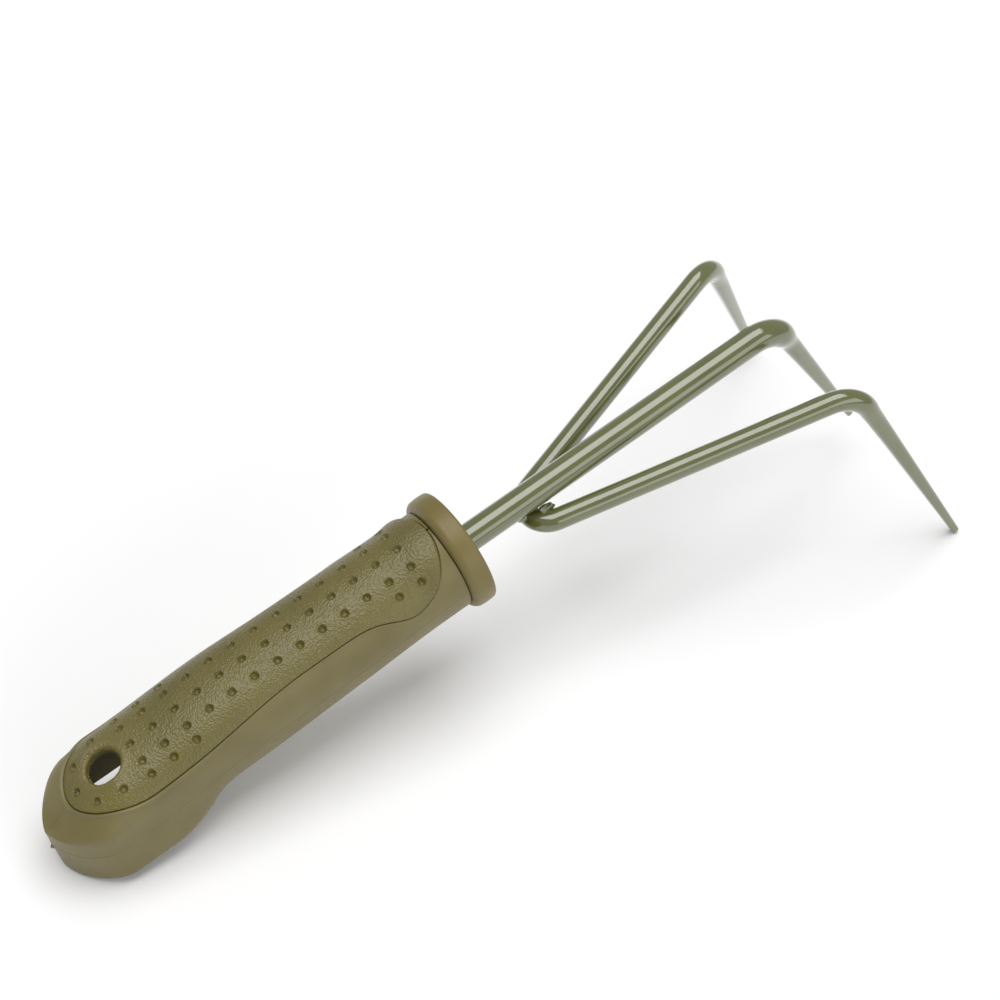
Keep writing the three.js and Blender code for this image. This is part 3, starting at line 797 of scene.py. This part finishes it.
def climb(x):
    """Height of the outer bar's axis along its arms."""
    return lerp(NOSE_Z, SIDE_CORNER[2], (x - NOSE_X) / (SIDE_CORNER[0] - NOSE_X))


def side_half(side):
    mirror = np.array([1.0, side, 1.0])
    angle = np.linspace(0, math.pi / 2 - SPREAD, 26)
    x = NOSE_CENTRE_X - NOSE_RADIUS * np.cos(angle)
    nose = np.stack([x, NOSE_RADIUS * np.sin(angle), climb(x)], -1)
    tip = SIDE_CORNER + SIDE_TINE
    arm = corner_path(nose[-1], SIDE_CORNER, tip, SIDE_BEND_RADIUS)
    fine = tip - (tip - arm[-2]) / np.linalg.norm(tip - arm[-2]) * TIP_RADIUS
    path = np.vstack([nose[:-1], arm[:-1], straight(fine, tip, 0.12)])
    return path * mirror


def outer_bar():
    right, left = side_half(-1), side_half(1)
    path = np.vstack([right[:0:-1], left])
    shape = tine_shape(SIDE_RADIUS, SIDE_RADIUS * SIDE_ROOT, np.linalg.norm(SIDE_TINE) - 4)
    return bar_mesh("outer_bar", sweep(path, lambda at, total: shape(min(at, total - at))))


def weld(name, centre, size, seed):
    """A lumpy bead of weld metal under its coat of paint."""
    build = Build()
    rows, columns = 34, 48
    polar = np.linspace(0.02, math.pi - 0.02, rows)[:, None]
    turn = np.linspace(0, 2 * math.pi, columns, endpoint=False)[None]
    ball = np.stack(
        [np.sin(polar) * np.cos(turn), np.sin(polar) * np.sin(turn), np.cos(polar) + 0 * turn], -1
    )
    lumps = np.array(
        [[noise.noise(Vector(p * 1.8) + Vector((seed, 0, 0))) for p in row] for row in ball]
    )
    points = np.array(centre) + ball * np.array(size) * (1 + 0.22 * lumps[..., None])
    numbers = build.add(points)
    build.grid(numbers, loop=True)
    build.cap(numbers[0])
    build.cap(numbers[-1])
    return build.mesh(name, sharp=80)


# ---------------------------------------------------------------- materials


def linear(colour):
    """A linear colour from 8-bit sRGB numbers."""
    c = np.array(colour, float) / 255
    c = np.where(c <= 0.04045, c / 12.92, ((c + 0.055) / 1.055) ** 2.4)
    return (*c.tolist(), 1.0)


class Nodes:
    """Short names for the nodes that the materials use."""

    def __init__(self, name):
        self.material = bpy.data.materials.new(name)
        self.material.use_nodes = True
        self.tree = self.material.node_tree
        self.shader = self.tree.nodes["Principled BSDF"]
        self.place = self.make("ShaderNodeTexCoord").outputs["Object"]

    def make(self, kind, **settings):
        node = self.tree.nodes.new(kind)
        for key, value in settings.items():
            setattr(node, key, value)
        return node

    def join(self, a, b):
        self.tree.links.new(a, b)

    def noise(self, scale, detail=3.0, rough=0.55):
        node = self.make("ShaderNodeTexNoise")
        node.inputs["Scale"].default_value = scale
        node.inputs["Detail"].default_value = detail
        node.inputs["Roughness"].default_value = rough
        self.join(self.place, node.inputs["Vector"])
        return node.outputs["Fac"]

    def cells(self, scale):
        node = self.make("ShaderNodeTexVoronoi", feature="SMOOTH_F1")
        node.inputs["Scale"].default_value = scale
        self.join(self.place, node.inputs["Vector"])
        return node.outputs["Distance"]

    def ramp(self, value, low, high, out_low, out_high):
        node = self.make("ShaderNodeMapRange")
        node.inputs["From Min"].default_value = low
        node.inputs["From Max"].default_value = high
        node.inputs["To Min"].default_value = out_low
        node.inputs["To Max"].default_value = out_high
        self.join(value, node.inputs["Value"])
        return node.outputs["Result"]

    def mix(self, factor, a, b):
        node = self.make("ShaderNodeMix", data_type="RGBA")
        self.join(factor, node.inputs["Factor"])
        for socket, value in (("A", a), ("B", b)):
            target = [s for s in node.inputs if s.name == socket and s.type == "RGBA"][0]
            target.default_value = value
        return [s for s in node.outputs if s.type == "RGBA"][0]

    def bump(self, heights):
        """Chained bumps: (height socket, depth in metres, strength)."""
        normal = None
        for height, depth, strength in heights:
            node = self.make("ShaderNodeBump")
            node.inputs["Distance"].default_value = depth
            node.inputs["Strength"].default_value = strength
            self.join(height, node.inputs["Height"])
            if normal is not None:
                self.join(normal, node.inputs["Normal"])
            normal = node.outputs["Normal"]
        self.join(normal, self.shader.inputs["Normal"])

    def finish(self, colour, roughness, **fixed):
        self.join(colour, self.shader.inputs["Base Color"])
        self.join(roughness, self.shader.inputs["Roughness"])
        for key, value in fixed.items():
            self.shader.inputs[key.replace("_", " ")].default_value = value
        return self.material


BODY_OLIVE = (108, 98, 56)
BODY_OLIVE_LIGHT = (116, 106, 64)
PAD_OLIVE = (96, 87, 34)
PAD_OLIVE_LIGHT = (108, 98, 42)
COLLAR_OLIVE = (112, 100, 52)
COLLAR_OLIVE_LIGHT = (119, 107, 60)
PAINT_GREEN = (88, 92, 42)
PAINT_GREEN_LIGHT = (94, 99, 48)


def moulded_plastic(name, dark, light, rough):
    n = Nodes(name)
    cloud = n.noise(60, 2)
    colour = n.mix(n.ramp(cloud, 0.35, 0.65, 0, 1), linear(dark), linear(light))
    roughness = n.ramp(n.noise(700, 3), 0.3, 0.7, rough - 0.04, rough + 0.05)
    n.bump([(n.noise(2600, 2), 0.00004, 0.35), (n.noise(180, 1), 0.0001, 0.12)])
    return n.finish(colour, roughness, IOR=1.48)


def pebbled_rubber(name, dark, light):
    n = Nodes(name)
    cloud = n.noise(45, 2)
    grain = n.cells(1900)
    base = n.mix(n.ramp(cloud, 0.3, 0.7, 0, 1), linear(dark), linear(light))
    roughness = n.ramp(n.noise(1500, 3), 0.3, 0.7, 0.27, 0.4)
    n.bump([(grain, 0.00028, 0.8), (n.noise(1700, 4), 0.00018, 0.6)])
    return n.finish(base, roughness, IOR=1.5, Specular_IOR_Level=0.65)


def gloss_paint(name, dark, light):
    n = Nodes(name)
    colour = n.mix(n.ramp(n.noise(90, 3), 0.35, 0.65, 0, 1), linear(dark), linear(light))
    roughness = n.ramp(n.noise(400, 3), 0.3, 0.7, 0.09, 0.15)
    n.bump([(n.noise(300, 2), 0.0001, 0.2)])
    gloss = {"Specular_IOR_Level": 1.0, "Coat_Weight": 1.0, "Coat_Roughness": 0.1}
    return n.finish(colour, roughness, IOR=1.5, **gloss)


# ---------------------------------------------------------------- stage


def plain_floor():
    size = 6.0
    data = bpy.data.meshes.new("floor")
    corners = [(-size, -size, 0), (size, -size, 0), (size, size, 0), (-size, size, 0)]
    data.from_pydata(corners, [], [(0, 1, 2, 3)])
    floor = bpy.data.objects.new("floor", data)
    bpy.context.scene.collection.objects.link(floor)
    n = Nodes("floor_paper")
    colour = n.mix(n.noise(3, 2), (0.93, 0.93, 0.94, 1), (0.95, 0.95, 0.95, 1))
    roughness = n.ramp(n.noise(40, 2), 0, 1, 0.75, 0.85)
    floor.data.materials.append(n.finish(colour, roughness, Specular_IOR_Level=0.1))


# The viewing angle: azimuth and elevation of the line of sight, roll and distance
LOOK_AZIMUTH = math.radians(54.25)
LOOK_DOWN = math.radians(47.78)
ROLL = math.radians(0.81)
DISTANCE = 0.6495
LENS = 80.93
TARGET = np.array([0.01988, 0.02188, 0.025])

AHEAD = np.array([math.cos(LOOK_AZIMUTH), math.sin(LOOK_AZIMUTH), 0.0])
RIGHT = np.array([math.sin(LOOK_AZIMUTH), -math.cos(LOOK_AZIMUTH), 0.0])
UP = np.array([0.0, 0.0, 1.0])
LOOK = AHEAD * math.cos(LOOK_DOWN) - UP * math.sin(LOOK_DOWN)
LOOK_UP = np.cross(RIGHT, LOOK)


def camera():
    right = math.cos(ROLL) * RIGHT + math.sin(ROLL) * LOOK_UP
    up = math.cos(ROLL) * LOOK_UP - math.sin(ROLL) * RIGHT
    place = TARGET - LOOK * DISTANCE
    data = bpy.data.cameras.new("camera")
    data.lens = LENS
    data.sensor_width = 36
    obj = bpy.data.objects.new("camera", data)
    columns = np.column_stack([right, up, -LOOK])
    obj.matrix_world = Matrix.Translation(Vector(place)) @ Matrix(columns.tolist()).to_4x4()
    bpy.context.scene.collection.objects.link(obj)
    bpy.context.scene.camera = obj


# Lights are placed round the shaft, so that their reflections run along the bars.
# SLANT is how far the sight line, and so its reflection, leans along the shaft.
ALONG = Vector(AXIS_X)
FACING = (-Vector(LOOK) + ALONG * ALONG.dot(Vector(LOOK))).normalized()
ASIDE = FACING.cross(ALONG)
SLANT = math.asin(ALONG.dot(Vector(LOOK)))
LIGHT_TURN = math.radians(36)
LIGHT_DISTANCE = 2.0
WORLD_STRENGTH = 0.42


def softbox(name, turn, distance, across, along, power):
    """A rectangular softbox aimed at the tool, turned about the shaft from the camera's side."""
    away = math.cos(turn) * FACING + math.sin(turn) * ASIDE
    back = (math.cos(SLANT) * away + math.sin(SLANT) * ALONG).normalized()
    length = (ALONG - back * ALONG.dot(back)).normalized()
    facing = Matrix((length.cross(back), length, back)).transposed()
    data = bpy.data.lights.new(name, "AREA")
    data.shape = "RECTANGLE"
    data.size = across
    data.size_y = along
    data.energy = power
    obj = bpy.data.objects.new(name, data)
    obj.matrix_world = Matrix.Translation(Vector(TARGET) + back * distance) @ facing.to_4x4()
    bpy.context.scene.collection.objects.link(obj)


def world(strength):
    sky = bpy.data.worlds.new("studio")
    sky.use_nodes = True
    background = sky.node_tree.nodes["Background"]
    background.inputs["Color"].default_value = (1, 1, 1, 1)
    background.inputs["Strength"].default_value = strength
    bpy.context.scene.world = sky


# ---------------------------------------------------------------- assembly


def dress(piece, material, node):
    piece.data.materials.clear()
    piece.data.materials.append(material)
    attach(piece, "root")
    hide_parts(node)


body_plastic = moulded_plastic("body_plastic", BODY_OLIVE, BODY_OLIVE_LIGHT, 0.42)
collar_plastic = moulded_plastic("collar_plastic", COLLAR_OLIVE, COLLAR_OLIVE_LIGHT, 0.4)
pad_rubber = pebbled_rubber("pad_rubber", PAD_OLIVE, PAD_OLIVE_LIGHT)
paint = gloss_paint("paint", PAINT_GREEN, PAINT_GREEN_LIGHT)

dress(handle_body(), body_plastic, "handle_body")
dress(grip_pad(), pad_rubber, "grip_pad")
dress(collar_ring(), collar_plastic, "collar")
dress(centre_bar(), paint, "centre_tine")
dress(outer_bar(), paint, "outer_tines")
rear_bead = weld("rear_bead", (NOSE_X - 2.2, 0, -5.2), (2.6, 2.3, 1.9), 1.0)
dress(rear_bead, paint, "weld_rear")
for side, name, node in ((-1, "right_bead", "weld_right"), (1, "left_bead", "weld_left")):
    bead = weld(name, (NOSE_X + 3.8, side * 3.5, -5.0), (2.7, 1.3, 1.6), 3.0 + side)
    dress(bead, paint, node)

plain_floor()
camera()
world(WORLD_STRENGTH)
softbox("key", LIGHT_TURN, LIGHT_DISTANCE, 1.55, 2.4, 33)
softbox("fill", -LIGHT_TURN, LIGHT_DISTANCE, 1.0, 2.4, 11)
bpy.context.scene.view_settings.view_transform = "Standard"
